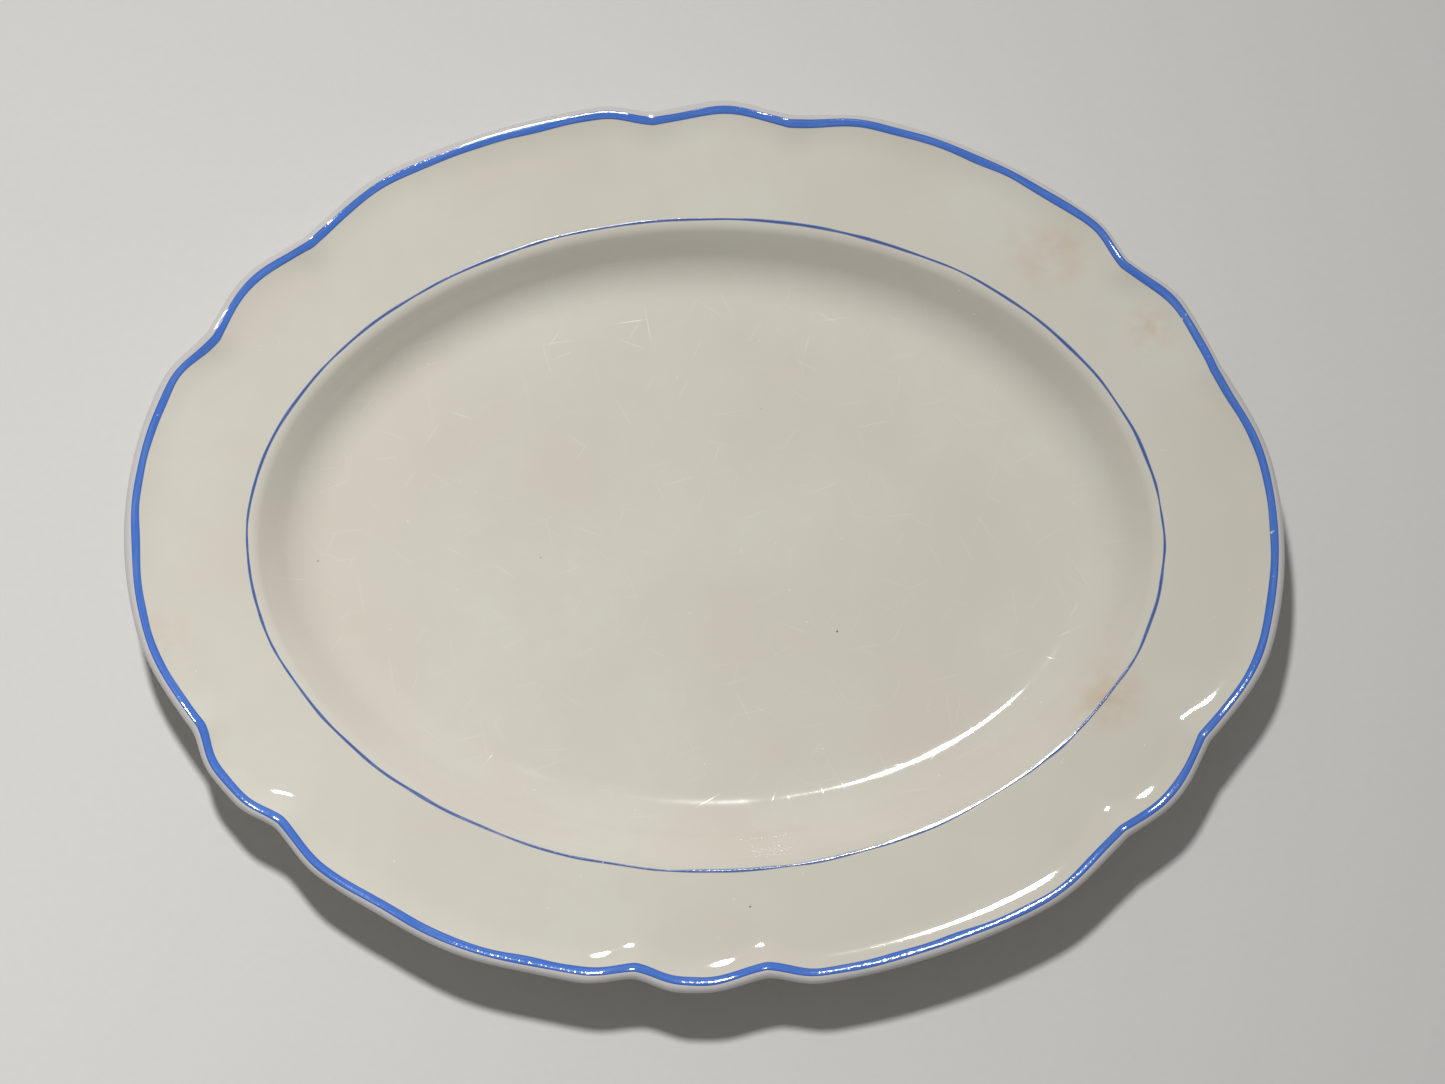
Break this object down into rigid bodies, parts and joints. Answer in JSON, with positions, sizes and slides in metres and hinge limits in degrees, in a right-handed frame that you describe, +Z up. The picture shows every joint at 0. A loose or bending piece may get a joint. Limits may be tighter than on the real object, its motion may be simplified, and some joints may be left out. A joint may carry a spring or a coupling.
{
  "type": "serving platter",
  "caption": "Oval glazed china serving platter with a softly lobed edge, a wide flat rim, a shallow well and blue painted lines, on an oval foot ring.",
  "frame": {"origin": "under the middle of the foot ring, on the surface the platter stands on", "axes": "+Z up out of the well, +X along the platter's length, +Y across it"},
  "size_m": [0.343, 0.268, 0.026],
  "materials": {
    "glazed_china": "glossy",
    "blue_enamel": "glossy"
  },
  "bodies": {
    "root": {"platter_body": "glazed_china", "rim_band": "blue_enamel", "verge_line": "blue_enamel"}
  },
  "joints": []
}
